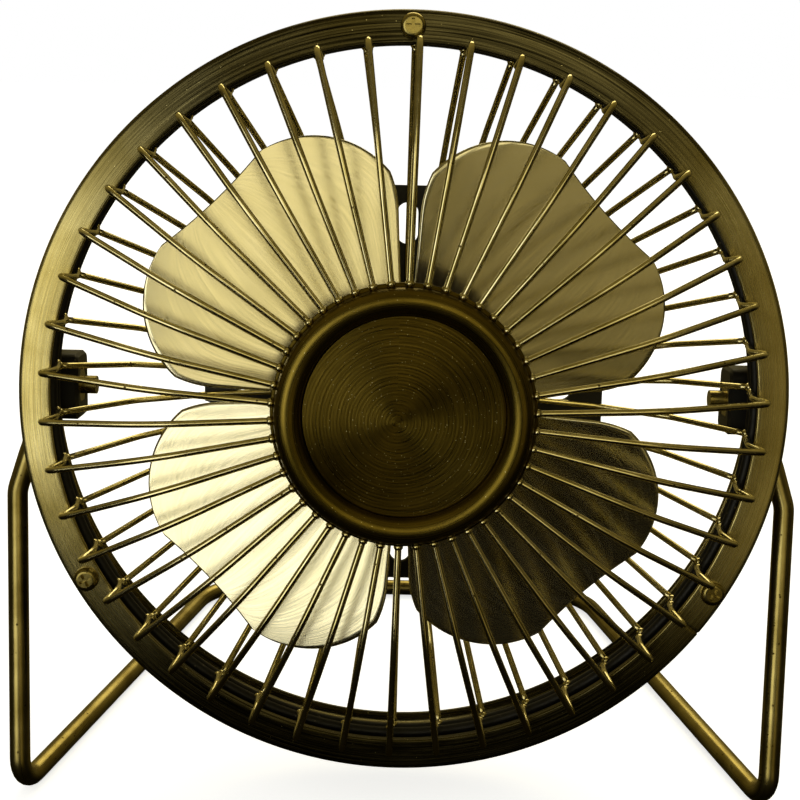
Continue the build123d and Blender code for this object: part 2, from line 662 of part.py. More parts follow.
RIVET_HEAD_R = 1.9
RIVET_HEAD_TALL = 0.7
RIVET_HEAD_TAPER = 30
with BuildPart() as rivet:
    with BuildSketch(Plane(
        origin=RING_CENTRE + REAR * BLADE_DEPTH + UP * RIVET_PITCH_R, x_dir=RIGHT, z_dir=-REAR,
    )):
        Circle(RIVET_HEAD_R)
    extrude(amount=RIVET_HEAD_TALL, taper=RIVET_HEAD_TAPER)
    with BuildSketch(Plane(
        origin=RING_CENTRE + REAR * BLADE_DEPTH + UP * RIVET_PITCH_R, x_dir=RIGHT, z_dir=-REAR,
    )):
        Circle(RIVET_R)
    extrude(amount=-(BLADE_THICK + HUB_FLANGE_THICK))
    with BuildSketch(Plane(
        origin=RING_CENTRE + REAR * BUSH_FRONT + UP * RIVET_PITCH_R, x_dir=RIGHT, z_dir=REAR,
    )):
        Circle(RIVET_HEAD_R)
    extrude(amount=RIVET_HEAD_TALL, taper=RIVET_HEAD_TAPER)
with BuildPart() as hub_rivets:
    add([clockwise(rivet.part, 360 / RIVETS * k) for k in range(RIVETS)])
save(hub_rivets.part, "hub_rivets")

# --- Rear cover of the motor: cup with vents, screw bosses, switch window and cord hole ---
COVER_IN_R = COVER_R - COVER_WALL
with BuildPart() as motor_cover:
    with BuildSketch(profile_plane()):
        with BuildLine():
            Polyline(
                (COVER_IN_R, MOTOR_DEPTH), (COVER_R, MOTOR_DEPTH), (COVER_R, COVER_REAR - COVER_BEVEL),
                (COVER_R - COVER_BEVEL, COVER_REAR), (0, COVER_REAR), (0, COVER_REAR - COVER_WALL),
                (COVER_IN_R - INNER_BEVEL, COVER_REAR - COVER_WALL),
                (COVER_IN_R, COVER_REAR - COVER_WALL - INNER_BEVEL),
                close=True,
            )
        make_face()
    revolve(axis=FAN_AXIS)
    with BuildSketch(face_plane(MOTOR_DEPTH)):
        with Locations(*[clock_point(COVER_SCREW_R, clock) for clock in COVER_SCREW_CLOCKS]):
            Circle(BOSS_R)
    extrude(amount=-BOSS_LONG)
    with BuildSketch(face_plane(MOTOR_DEPTH)):
        with Locations(*[clock_point(COVER_SCREW_R, clock) for clock in COVER_SCREW_CLOCKS]):
            Circle(SMALL_SHANK_R + 0.02)
    extrude(amount=-(BOSS_LONG - 2), mode=Mode.SUBTRACT)
    with BuildSketch(face_plane(COVER_REAR + 1)):
        Rectangle(SWITCH_BODY[0] + 0.1, SWITCH_BODY[1] + 0.1)
        with PolarLocations(VENT_PITCH_R, VENTS, start_angle=360 / VENTS / 2):
            SlotOverall(VENT_LONG, VENT_WIDE)
    extrude(amount=COVER_WALL + 2, mode=Mode.SUBTRACT)
    with BuildSketch(Plane(origin=RING_CENTRE + REAR * GLAND_DEPTH, x_dir=RIGHT, z_dir=-UP)):
        Circle(GLAND_BODY_R + 0.05)
    extrude(amount=COVER_R + 1, mode=Mode.SUBTRACT)
save(motor_cover.part, "motor_cover")

cover_screw = pan_head_screw(
    Plane(origin=RING_CENTRE + UP * COVER_SCREW_R + REAR * BRACKET_DEPTH, x_dir=RIGHT, z_dir=-REAR),
    SMALL_SHANK_R, BRACKET_THICK + COVER_SCREW_BITE, SMALL_HEAD_R, SMALL_HEAD_TALL,
)
with BuildPart() as cover_screws:
    add([clockwise(cover_screw, clock) for clock in COVER_SCREW_CLOCKS])
save(cover_screws.part, "cover_screws")

# --- Cord gland: rubber bush with two flanges round the wall of the cover ---
GLAND_TOP_R = COVER_IN_R - 1.8
GLAND_LOW_R = COVER_R + 3.6
GLAND_OUT_FLANGE = (GLAND_BODY_R + 1.3, 1.4)     # radius and thickness outside the wall
GLAND_IN_FLANGE = (GLAND_BODY_R + 0.8, 1.0)      # the same inside it
with BuildPart() as cord_gland:
    with BuildSketch(Plane(
        origin=RING_CENTRE + REAR * GLAND_DEPTH - UP * GLAND_TOP_R, x_dir=RIGHT, z_dir=-UP,
    )):
        Circle(GLAND_BODY_R)
    extrude(amount=GLAND_LOW_R - GLAND_TOP_R)
    with BuildSketch(Plane(
        origin=RING_CENTRE + REAR * GLAND_DEPTH - UP * (COVER_R + SLIP), x_dir=RIGHT, z_dir=-UP,
    )):
        Circle(GLAND_OUT_FLANGE[0])
    extrude(amount=GLAND_OUT_FLANGE[1])
    with BuildSketch(Plane(
        origin=RING_CENTRE + REAR * GLAND_DEPTH - UP * GLAND_TOP_R, x_dir=RIGHT, z_dir=-UP,
    )):
        Circle(GLAND_IN_FLANGE[0])
    extrude(amount=GLAND_IN_FLANGE[1])
    with BuildSketch(Plane(
        origin=RING_CENTRE + REAR * GLAND_DEPTH - UP * (GLAND_TOP_R - 1), x_dir=RIGHT, z_dir=-UP,
    )):
        Circle(GLAND_BORE_R)
    extrude(amount=GLAND_LOW_R - GLAND_TOP_R + 2, mode=Mode.SUBTRACT)
save(cord_gland.part, "cord_gland")

# --- Rocker switch: body with a bezel, and a rocker on two pins ---
ROCKER_PIVOT_DEPTH = COVER_REAR - 0.6
with BuildPart() as switch_body:
    with BuildSketch(face_plane(COVER_REAR + SLIP)):
        Rectangle(SWITCH_BEZEL[0], SWITCH_BEZEL[1])
    extrude(amount=-SWITCH_BEZEL[2])
    with BuildSketch(face_plane(COVER_REAR + SLIP)):
        Rectangle(SWITCH_BODY[0], SWITCH_BODY[1])
    extrude(amount=SWITCH_BODY[2])
    with BuildSketch(face_plane(COVER_REAR + SWITCH_BEZEL[2] + SLIP)):
        Rectangle(SWITCH_WELL[0], SWITCH_WELL[1])
    extrude(amount=SWITCH_WELL[2], mode=Mode.SUBTRACT)
    with BuildSketch(Plane(
        origin=RING_CENTRE + REAR * ROCKER_PIVOT_DEPTH, x_dir=REAR, z_dir=REAR.cross(UP),
    )):
        Circle(ROCKER_PIN_R + 0.05)
    extrude(amount=ROCKER_PIN_HALF + 0.1, both=True, mode=Mode.SUBTRACT)
save(switch_body.part, "switch_body")

REST_TURN = ROCKER_SWING / 2
rocker_rear = REAR * cos(radians(REST_TURN)) + UP * sin(radians(REST_TURN))
rocker_plane = Plane(
    origin=RING_CENTRE + REAR * ROCKER_PIVOT_DEPTH, x_dir=rocker_rear, z_dir=REAR.cross(UP),
)
with BuildPart() as switch_rocker:
    with BuildSketch(rocker_plane):
        with BuildLine():
            Polyline(
                (-ROCKER_BACK, ROCKER_HALF), (ROCKER_HIGH, ROCKER_HALF), (ROCKER_DISH, 0),
                (ROCKER_HIGH, -ROCKER_HALF), (-ROCKER_BACK, -ROCKER_HALF), (-ROCKER_KEEL, 0),
                close=True,
            )
        make_face()
    extrude(amount=ROCKER_WIDE / 2, both=True)
    fillet(switch_rocker.edges().filter_by(Axis.X), 0.4)
    with BuildSketch(rocker_plane):
        Circle(ROCKER_PIN_R)
    extrude(amount=ROCKER_PIN_HALF, both=True)
save(switch_rocker.part, "switch_rocker")

SWITCH_TAB = (2.4, 0.5, 3.0)
SWITCH_TAB_Y = 4.0
with BuildPart() as switch_tabs:
    with BuildSketch(face_plane(COVER_REAR + SLIP - SWITCH_BODY[2])):
        with Locations((0, SWITCH_TAB_Y), (0, -SWITCH_TAB_Y)):
            Rectangle(SWITCH_TAB[0], SWITCH_TAB[1])
    extrude(amount=SWITCH_TAB[2])
save(switch_tabs.part, "switch_tabs")

# --- Leads inside the cover ---
LEAD_R = 0.6
LEAD_BEND = 2.0
LIVE_POINTS = ((8.5, 0), (12, 4), (12, 12), (4.5, 14), (0, 9), (0, 4.3))
RETURN_POINTS = ((-8.5, 0), (-12, -3), (-12, -10), (-7, -13))
with BuildPart() as motor_leads:
    with BuildLine(face_plane(TAB_REAR - 1.0)) as live_route:
        FilletPolyline(*LIVE_POINTS, radius=LEAD_BEND)
    with BuildSketch(Plane(origin=live_route.line @ 0, z_dir=live_route.line % 0)):
        Circle(LEAD_R)
    sweep(path=live_route.line)
    with BuildLine(face_plane(TAB_REAR - 1.0)) as return_route:
        FilletPolyline(*RETURN_POINTS, radius=LEAD_BEND)
    with BuildSketch(Plane(origin=return_route.line @ 0, z_dir=return_route.line % 0)):
        Circle(LEAD_R)
    sweep(path=return_route.line)
save(motor_leads.part, "motor_leads")

# --- Tilt pivots: plastic blocks inside the ring, screws, nuts and washers ---
RING_IN_R = RING_R - SHEET
for side, name in ((-1, "left"), (1, "right")):
    with BuildPart() as pivot_block:
        with BuildSketch(side_plane(side * BLOCK_IN_X)):
            RectangleRounded(2 * BLOCK_HALF_DEEP, 2 * BLOCK_HALF_TALL, BLOCK_CORNER_R)
        extrude(amount=side * (RING_R - BLOCK_IN_X))
        with BuildSketch(face_plane(0)):
            Circle(RING_IN_R - SLIP)
        extrude(amount=-2 * RING_DEPTH, mode=Mode.INTERSECT)
        inner_face = pivot_block.faces().sort_by(Axis.X)[0 if side > 0 else -1]
        chamfer(inner_face.edges(), BLOCK_CHAMFER)
        with BuildSketch(side_plane(0)):
            Circle(PIVOT_HOLE_R)
        extrude(amount=side * RING_R, mode=Mode.SUBTRACT)
        with BuildSketch(side_plane(side * BLOCK_IN_X)):
            RegularPolygon(NUT_FLATS / 2 + 0.05, 6, major_radius=False)
        extrude(amount=side * (NUT_THICK + 0.2), mode=Mode.SUBTRACT)
    save(pivot_block.part, f"pivot_block_{name}")

with BuildPart() as pivot_nuts:
    for side in (1, -1):
        with BuildSketch(side_plane(side * (BLOCK_IN_X + 0.1))):
            RegularPolygon(NUT_FLATS / 2, 6, major_radius=False)
            Circle(PIVOT_HOLE_R, mode=Mode.SUBTRACT)
        extrude(amount=side * NUT_THICK)
save(pivot_nuts.part, "pivot_nuts")

EYE_OUT_X = EYE_X + EYE_THICK / 2
HEAD_X = EYE_OUT_X + HEAD_GAP
with BuildPart() as pivot_screws:
    for side, end_x in ((1, RIGHT_SCREW_END), (-1, LEFT_SCREW_END)):
        add(pan_head_screw(
            Plane(origin=PIVOT + RIGHT * side * HEAD_X, x_dir=UP, z_dir=RIGHT * side),
            PIVOT_SCREW_R, HEAD_X - end_x, PIVOT_HEAD_R, PIVOT_HEAD_TALL,
        ))
save(pivot_screws.part, "pivot_screws")

with BuildPart() as pivot_washers:
    for side in (1, -1):
        with BuildSketch(Plane(origin=PIVOT + RIGHT * side * WASHER_X, z_dir=RIGHT * side)):
            Circle(WASHER_R)
            Circle(PIVOT_HOLE_R + 0.1, mode=Mode.SUBTRACT)
        extrude(amount=WASHER_THICK)
save(pivot_washers.part, "pivot_washers")

# --- Stand: one bent rod with a flattened eye at each end ---
LEG_DIR = Vector(0, -FOOT_AHEAD, -(PIVOT_HEIGHT - ROD_R)).normalized()


def leg_point(side, x, low):
    """Point at x on the line from a pivot to its front foot, a height low below the pivot."""
    return PIVOT + RIGHT * side * x + LEG_DIR * (low / -LEG_DIR.Z)


FOOT = Vector(FOOT_X, PIVOT_Y - FOOT_AHEAD, ROD_R)
CORNER = Vector(CROSSBAR_HALF, PIVOT_Y + CROSSBAR_BEHIND, ROD_R)
with BuildPart() as stand:
    for side in (1, -1):
        neck = leg_point(side, NECK_X, NECK_LOW)
        neck_dir = (leg_point(side, LEG_X, JOGGLE_LOW) - neck).normalized()
        with BuildSketch(Plane(
            origin=leg_point(side, EYE_X, PLATE_LOW), x_dir=RIGHT, z_dir=LEG_DIR,
        )):
            Ellipse(EYE_THICK / 2 - 0.05, PLATE_WIDE / 2 - 0.1)
        with BuildSketch(Plane(origin=neck, x_dir=RIGHT, z_dir=neck_dir)):
            Circle(ROD_R)
        loft()
        with BuildSketch(Plane(
            origin=PIVOT + RIGHT * side * (EYE_X - EYE_THICK / 2),
            x_dir=LEG_DIR * side, z_dir=RIGHT * side,
        )):
            Circle(EYE_R)
            with Locations((side * (PLATE_LOW + 0.7) / 2, 0)):
                Rectangle(PLATE_LOW + 0.7, PLATE_WIDE)
        extrude(amount=EYE_THICK)
    with BuildLine() as rod_route:
        FilletPolyline(
            leg_point(1, NECK_X, NECK_LOW), leg_point(1, LEG_X, JOGGLE_LOW), FOOT, CORNER,
            Vector(-CORNER.X, CORNER.Y, CORNER.Z), Vector(-FOOT.X, FOOT.Y, FOOT.Z),
            leg_point(-1, LEG_X, JOGGLE_LOW), leg_point(-1, NECK_X, NECK_LOW),
            radius=[JOGGLE_BEND, FOOT_BEND, CORNER_BEND, CORNER_BEND, FOOT_BEND, JOGGLE_BEND],
        )
    rod_start = leg_point(1, NECK_X, NECK_LOW)
    with BuildSketch(Plane(origin=rod_start, z_dir=leg_point(1, LEG_X, JOGGLE_LOW) - rod_start)):
        Circle(ROD_R)
    sweep(path=rod_route.line)
    with BuildSketch(side_plane(0)):
        Circle(PIVOT_HOLE_R)
    extrude(amount=LEG_X + ROD_R + 1, both=True, mode=Mode.SUBTRACT)
save(stand.part, "stand")
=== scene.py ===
import json
import math

import bmesh
import bpy
import numpy as np
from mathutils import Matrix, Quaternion, Vector


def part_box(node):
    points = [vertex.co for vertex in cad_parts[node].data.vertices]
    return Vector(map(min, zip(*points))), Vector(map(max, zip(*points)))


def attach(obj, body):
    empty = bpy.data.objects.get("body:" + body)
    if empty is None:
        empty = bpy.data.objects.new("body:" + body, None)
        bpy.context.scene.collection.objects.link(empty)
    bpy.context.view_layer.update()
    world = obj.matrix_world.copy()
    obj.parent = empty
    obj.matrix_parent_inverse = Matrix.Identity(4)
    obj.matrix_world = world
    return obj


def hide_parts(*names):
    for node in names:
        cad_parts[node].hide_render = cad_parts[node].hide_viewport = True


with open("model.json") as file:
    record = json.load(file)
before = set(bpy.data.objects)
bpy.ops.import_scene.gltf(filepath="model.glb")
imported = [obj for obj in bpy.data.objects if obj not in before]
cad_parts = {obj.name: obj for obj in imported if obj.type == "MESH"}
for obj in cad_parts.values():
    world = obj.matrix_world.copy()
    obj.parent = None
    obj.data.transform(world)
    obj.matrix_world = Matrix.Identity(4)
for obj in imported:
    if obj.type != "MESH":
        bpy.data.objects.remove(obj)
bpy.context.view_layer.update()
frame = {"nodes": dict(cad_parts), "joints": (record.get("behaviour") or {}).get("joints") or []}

# A small metal desk fan: a ring housing with two wire grilles, a cap with a turned disc, a
# four-blade sheet impeller and a motor under a plastic cover, tilting in a bent-rod stand.
# Head pieces are laid out by radius from the fan axis, clock angle (degrees clockwise from
# the top, seen from the front) and depth behind the ring's front face. Lengths are metres.

MM = 0.001

# --- Frame of the tilted head ---
joints = {joint["name"]: joint for joint in frame["joints"]}
PIVOT = np.array(joints["head_tilt"]["pos_m"])
RIGHT = np.array([1.0, 0.0, 0.0])
REAR = np.array(joints["rotor_spin"]["axis"])
UP = np.cross(RIGHT, REAR)
PIVOT_DEPTH = 18.0 * MM
CENTRE = PIVOT - REAR * PIVOT_DEPTH

# --- Driving sizes ---
RING_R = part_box("housing_ring")[1].x
RING_DEPTH = 24.6 * MM
FLANGE_IN_R = 66.05 * MM
SHEET = 0.8 * MM
SEAM_CLOCK = 126.6
WIRES = 46
WIRE_STEP = 360 / WIRES
WIRE_R = 0.62 * MM
FRONT_CLOCK = 1.07
REAR_CLOCK = 0.42
HOOP_R = 67.3 * MM
LEG_END_R = 66.4 * MM
HOOP_WIRE_R = 1.0 * MM
FRONT_HOOP_DEPTH = 6.9 * MM
REAR_HOOP_DEPTH = 8.9 * MM
CAP_LIP_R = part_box("hub_cap")[1].x
DISC_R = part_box("hub_disc")[1].x
BLADES = 4
BLADE_DEPTH = 8.05 * MM
BLADE_CLOCK = 45.4
BLADE_TOP = 52.9 * MM
CORNER_X = 12.7 * MM
CORNER_R = 10.0 * MM
BLADE_THICK = 0.8 * MM


# --- Surfaces ---
def head_point(radius, clock, depth):
    """Point of the head: out along the clock direction by radius, and back by depth."""
    turn = np.radians(clock)
    across = np.multiply(radius, np.sin(turn))
    upward = np.multiply(radius, np.cos(turn))
    return (CENTRE + np.multiply.outer(across, RIGHT) + np.multiply.outer(upward, UP)
            + np.multiply.outer(depth + 0 * across, REAR))


def surface(name, sheets, uv=None, wrap=(True, True)):
    """Mesh of one or more grids of points.

    sheets is an array (pieces, rows, columns, 3). Neighbouring points of a grid make one
    face, and a grid meets itself where wrap says so. Points that fall together are merged,
    which closes the poles, and the faces are then turned outwards.
    """
    pieces, rows, columns, _ = sheets.shape
    row = np.arange(rows if wrap[0] else rows - 1)
    column = np.arange(columns if wrap[1] else columns - 1)
    r, c = np.meshgrid(row, column, indexing="ij")
    corners = np.stack([
        r * columns + c, r * columns + (c + 1) % columns,
        (r + 1) % rows * columns + (c + 1) % columns, (r + 1) % rows * columns + c,
    ], axis=-1).reshape(-1, 4)
    faces = (corners[None] + (np.arange(pieces) * rows * columns)[:, None, None]).reshape(-1, 4)
    mesh = bpy.data.meshes.new(name)
    mesh.vertices.add(pieces * rows * columns)
    mesh.vertices.foreach_set("co", sheets.reshape(-1).astype(np.float32))
    mesh.loops.add(faces.size)
    mesh.loops.foreach_set("vertex_index", faces.reshape(-1).astype(np.int32))
    mesh.polygons.add(len(faces))
    mesh.polygons.foreach_set("loop_start", np.arange(0, faces.size, 4, dtype=np.int32))
    mesh.update(calc_edges=True)
    if uv is not None:
        cell = np.stack([
            np.stack([r, c], -1), np.stack([r, c + 1], -1),
            np.stack([r + 1, c + 1], -1), np.stack([r + 1, c], -1),
        ], axis=2).reshape(-1, 2).astype(float)
        size = np.array([len(row), len(column)])
        laid = np.tile(cell / size * np.array(uv), (pieces, 1))
        laid[:, 1] += np.repeat(np.arange(pieces) * 0.37, len(cell))
        mesh.uv_layers.new(name="surface").data.foreach_set("uv", laid.reshape(-1))
    work = bmesh.new()
    work.from_mesh(mesh)
    bmesh.ops.remove_doubles(work, verts=work.verts, dist=1e-7)
    bmesh.ops.recalc_face_normals(work, faces=work.faces)
    work.to_mesh(mesh)
    work.free()
    mesh.polygons.foreach_set("use_smooth", np.ones(len(mesh.polygons), bool))
    piece = bpy.data.objects.new(name, mesh)
    bpy.context.scene.collection.objects.link(piece)
    return piece


def unit(vectors):
    """Vectors scaled to length one along their last axis."""
    return vectors / np.linalg.norm(vectors, axis=-1, keepdims=True)


def tube(path, radius, sides, aside, flat=None):
    """Tube round a path: circles of the given radius square to the path, with closed ends.

    aside is a direction that never runs along the path, one for all points or one each.
    flat gives each point's two half-widths, along aside and across it, where the section
    isn't round.
    """
    along = unit(np.gradient(path, axis=-2))
    first = unit(aside - (aside * along).sum(-1, keepdims=True) * along)
    second = np.cross(along, first)
    wide = np.full(path.shape[:-1] + (2,), radius) if flat is None else flat
    turn = np.linspace(0, 2 * np.pi, sides, endpoint=False)
    ring = (path[..., None, :]
            + np.cos(turn)[:, None] * (first * wide[..., :1])[..., None, :]
            + np.sin(turn)[:, None] * (second * wide[..., 1:])[..., None, :])
    start = np.repeat(path[..., :1, None, :], sides, axis=-2)
    end = np.repeat(path[..., -1:, None, :], sides, axis=-2)
    return np.concatenate([start, ring, end], axis=-3)


def rounded_path(points, bends, step):
    """Path along straight runs whose corners are arcs, with points about one step apart."""
    points = [np.asarray(p, float) for p in points]
    pieces = [points[0][None]]
    for before, corner, after, bend in zip(points, points[1:], points[2:], bends):
        into, out = unit(before - corner), unit(after - corner)
        half = math.acos(np.clip(into @ out, -1, 1)) / 2
        middle = corner + unit(into + out) * bend / math.sin(half)
        reach = bend / math.tan(half)
        start, finish = corner + into * reach, corner + out * reach
        swing = math.pi - 2 * half
        t = np.linspace(0, 1, max(4, int(bend * swing / step)))[:, None]
        arc = (np.sin((1 - t) * swing) * (start - middle) + np.sin(t * swing) * (finish - middle))
        arc = middle + arc / math.sin(swing)
        run = max(2, int(np.linalg.norm(start - pieces[-1][-1]) / step))
        line = np.linspace(pieces[-1][-1], start, run, endpoint=False)[1:]
        pieces += [line, arc]
    run = max(2, int(np.linalg.norm(points[-1] - pieces[-1][-1]) / step))
    pieces.append(np.linspace(pieces[-1][-1], points[-1], run + 1)[1:])
    return np.concatenate(pieces)


def revolve(profile, turns):
    """Profile of (radius, depth) points carried round the fan axis, closed on itself."""
    clock = np.linspace(0, 360, turns, endpoint=False)[:, None]
    return head_point(profile[:, 0], clock, profile[:, 1] + 0 * clock)[None]


def arc_points(middle, radius, start, end, count):
    """Points of (radius, depth) on an arc, angles in degrees from the outward direction."""
    turn = np.radians(np.linspace(start, end, count))
    return np.stack([middle[0] + radius * np.cos(turn), middle[1] + radius * np.sin(turn)], -1)


def seated(piece, body, finish, slot, *nodes):
    """Give a new piece its body and finish, and hide the nodes that it stands for. Its slot is not
    used.
    """
    piece.data.materials.append(finish)
    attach(piece, body)
    if nodes:
        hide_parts(*nodes)
    return piece


# --- Materials ---
def node(tree, kind, inputs=None, **settings):
    """Add one node: settings are its properties, inputs are constants or sockets to link."""
    made = tree.nodes.new(kind)
    for key, value in settings.items():
        setattr(made, key, value)
    for key, value in (inputs or {}).items():
        if isinstance(value, bpy.types.NodeSocket):
            tree.links.new(value, made.inputs[key])
        else:
            made.inputs[key].default_value = value
    return made


def group(name, inputs, outputs):
    """New shader node group with float, vector or colour sockets; returns it and its ends."""
    tree = bpy.data.node_groups.new(name, "ShaderNodeTree")
    for label, (kind, default) in inputs.items():
        socket = tree.interface.new_socket(label, in_out="INPUT", socket_type=kind)
        if default is not None:
            socket.default_value = default
    for label, kind in outputs.items():
        tree.interface.new_socket(label, in_out="OUTPUT", socket_type=kind)
    return tree, tree.nodes.new("NodeGroupInput").outputs, tree.nodes.new("NodeGroupOutput")


FLOAT, VECTOR, COLOUR = "NodeSocketFloat", "NodeSocketVector", "NodeSocketColor"


def make_grain():
    """Brushed grain: noise drawn out along the first coordinate, coarse and fine together."""
    tree, given, result = group(
        "brushed_grain",
        {"Vector": (VECTOR, None), "Along": (FLOAT, 20.0), "Across": (FLOAT, 2000.0)},
        {"Streak": FLOAT, "Fine": FLOAT},
    )
    split = node(tree, "ShaderNodeSeparateXYZ", {0: given["Vector"]})
    drawn = node(tree, "ShaderNodeCombineXYZ", {
        0: node(tree, "ShaderNodeMath", {0: split.outputs[0], 1: given["Along"]},
                operation="MULTIPLY").outputs[0],
        1: node(tree, "ShaderNodeMath", {0: split.outputs[1], 1: given["Across"]},
                operation="MULTIPLY").outputs[0],
        2: node(tree, "ShaderNodeMath", {0: split.outputs[2], 1: given["Across"]},
                operation="MULTIPLY").outputs[0],
    })
    for label, scale, detail in (("Streak", 0.35, 4.0), ("Fine", 1.0, 2.0)):
        noise = node(tree, "ShaderNodeTexNoise", {
            "Vector": drawn.outputs[0], "Scale": scale, "Detail": detail, "Roughness": 0.6})
        spread = node(tree, "ShaderNodeMapRange", {
            "Value": noise.outputs[0], "From Min": 0.3, "From Max": 0.7})
        tree.links.new(spread.outputs[0], result.inputs[label])
    return tree


def make_specks():
    """Dust specks: small round cells, of which only a share holds a speck."""
    tree, given, result = group(
        "dust_specks",
        {"Vector": (VECTOR, None), "Size": (FLOAT, 900.0), "Share": (FLOAT, 0.06)},
        {"Mask": FLOAT},
    )
    cells = node(tree, "ShaderNodeTexVoronoi", {"Vector": given["Vector"], "Scale": given["Size"]})
    near = node(tree, "ShaderNodeMapRange", {
        "Value": cells.outputs["Distance"], "From Min": 0.32, "From Max": 0.18})
    pick = node(tree, "ShaderNodeSeparateColor", {0: cells.outputs["Color"]})
    chosen = node(tree, "ShaderNodeMath", {0: pick.outputs[0], 1: given["Share"]},
                  operation="LESS_THAN")
    mask = node(tree, "ShaderNodeMath", {0: near.outputs[0], 1: chosen.outputs[0]},
                operation="MULTIPLY")
    tree.links.new(mask.outputs[0], result.inputs["Mask"])
    return tree


def make_mottle():
    """Slow change of tone: soft cloudy patches mixed between two colours, with its mask."""
    tree, given, result = group(
        "mottled_tone",
        {"Vector": (VECTOR, None), "Size": (FLOAT, 60.0),
         "Dark": (COLOUR, (0, 0, 0, 1)), "Light": (COLOUR, (1, 1, 1, 1))},
        {"Color": COLOUR, "Mask": FLOAT},
    )
    cloud = node(tree, "ShaderNodeTexNoise", {
        "Vector": given["Vector"], "Scale": given["Size"], "Detail": 5.0, "Roughness": 0.55})
    spread = node(tree, "ShaderNodeMapRange", {
        "Value": cloud.outputs[0], "From Min": 0.34, "From Max": 0.66})
    blend = node(tree, "ShaderNodeMix", {
        0: spread.outputs[0], 6: given["Dark"], 7: given["Light"]}, data_type="RGBA")
    tree.links.new(blend.outputs[2], result.inputs["Color"])
    tree.links.new(spread.outputs[0], result.inputs["Mask"])
    return tree


GRAIN, SPECKS, MOTTLE = make_grain(), make_specks(), make_mottle()


def use(tree, kind, **inputs):
    """Place a node group in a material with its own values."""
    made = tree.nodes.new("ShaderNodeGroup")
    made.node_tree = kind
    for key, value in inputs.items():
        if isinstance(value, bpy.types.NodeSocket):
            tree.links.new(value, made.inputs[key])
        else:
            made.inputs[key].default_value = value
    return made


def blank(name):
    """New material with its tree, its Principled shader and its two sets of coordinates."""
    material = bpy.data.materials.new(name)
    material.use_nodes = True
    tree = material.node_tree
    shader = tree.nodes["Principled BSDF"]
    place = tree.nodes.new("ShaderNodeTexCoord")
    return material, tree, shader, place.outputs["Object"], place.outputs["UV"]


def ranged(tree, value, low, high):
    """A mask carried to the range low to high."""
    spread = node(tree, "ShaderNodeMapRange", {"Value": value, "To Min": low, "To Max": high})
    return spread.outputs[0]


def mixed(tree, mask, first, second):
    """Colour between first and second by a mask."""
    blend = node(tree, "ShaderNodeMix", {0: mask, 6: first, 7: second}, data_type="RGBA")
    return blend.outputs[2]


def bumped(tree, shader, height, distance, strength=1.0):
    """Feed a height into the shader's normal."""
    bump = node(tree, "ShaderNodeBump", {
        "Height": height, "Distance": distance, "Strength": strength})
    tree.links.new(bump.outputs[0], shader.inputs["Normal"])


def brushed_metal(name, dark, light, roughness, along, across, lift, stretch=0.0, on_map=True,
                  speck=0.0, painted_shade=0.0):
    """Brushed metal: streaks of two tones and of roughness along the grain, and fine bump.

    stretch is the anisotropy of the highlight, which is drawn out square to the grain.
    The last argument sets painted shade: the share of the tone lost at the very top and bottom of the
    head, in streaks.
    """
    material, tree, shader, place, laid = blank(name)
    where = laid if on_map else place
    grain = use(tree, GRAIN, Vector=where, Along=along, Across=across)
    cloud = use(tree, MOTTLE, Vector=place, Size=45.0, Dark=dark, Light=light)
    streaked = mixed(tree, ranged(tree, grain.outputs["Streak"], 0.0, 0.65),
                     cloud.outputs["Color"], dark)
    # Painted shade: the base colour turns near black in streaks towards the very top and bottom of
    # the head.
    if painted_shade:
        height = node(tree, "ShaderNodeSeparateXYZ", {0: place}).outputs[2]
        above = node(tree, "ShaderNodeMath", {0: height, 1: float(CENTRE[2])}, operation="SUBTRACT")
        shade_by_height = node(tree, "ShaderNodeMapRange", {
            "Value": node(tree, "ShaderNodeMath", {0: above.outputs[0]},
                          operation="ABSOLUTE").outputs[0],
            "From Min": 0.30 * RING_R, "From Max": 0.80 * RING_R, "To Max": painted_shade},
            interpolation_type="SMOOTHSTEP")
        shade_streaks = node(tree, "ShaderNodeMath", {
            0: shade_by_height.outputs[0], 1: ranged(tree, grain.outputs["Streak"], 0.74, 1.07)},
            operation="MULTIPLY", use_clamp=True)
        streaked = mixed(tree, shade_streaks.outputs[0], streaked, tone(5, 4, 1))
    if speck:
        dust = use(tree, SPECKS, Vector=place, Size=3600.0, Share=speck)
        streaked = mixed(tree, dust.outputs["Mask"], streaked, (0.75, 0.66, 0.34, 1))
    tree.links.new(streaked, shader.inputs["Base Color"])
    tree.links.new(ranged(tree, grain.outputs["Fine"], roughness * 0.75, roughness * 1.3),
                   shader.inputs["Roughness"])
    shader.inputs["Metallic"].default_value = 1.0
    if stretch:
        shader.inputs["Anisotropic"].default_value = stretch
        shader.inputs["Anisotropic Rotation"].default_value = 0.25
        along_map = node(tree, "ShaderNodeTangent", direction_type="UV_MAP", uv_map="surface")
        tree.links.new(along_map.outputs[0], shader.inputs["Tangent"])
    bumped(tree, shader, grain.outputs["Fine"], lift)
    return material


def plated_wire(name, dark, light, roughness):
    """Drawn plated wire: faint lengthwise die lines, small pits and patchy tone."""
    material, tree, shader, place, laid = blank(name)
    grain = use(tree, GRAIN, Vector=laid, Along=35.0, Across=2600.0)
    cloud = use(tree, MOTTLE, Vector=place, Size=130.0, Dark=dark, Light=light)
    pits = use(tree, SPECKS, Vector=place, Size=1100.0, Share=0.10)
    pitted = mixed(tree, pits.outputs["Mask"], cloud.outputs["Color"], (0.10, 0.07, 0.015, 1))
    tree.links.new(pitted, shader.inputs["Base Color"])
    rough = node(tree, "ShaderNodeMath", {
        0: ranged(tree, grain.outputs["Streak"], roughness * 0.8, roughness * 1.3),
        1: ranged(tree, pits.outputs["Mask"], 0.0, 0.25)}, operation="ADD")
    tree.links.new(rough.outputs[0], shader.inputs["Roughness"])
    shader.inputs["Metallic"].default_value = 1.0
    bumped(tree, shader, grain.outputs["Fine"], 0.000005)
    return material


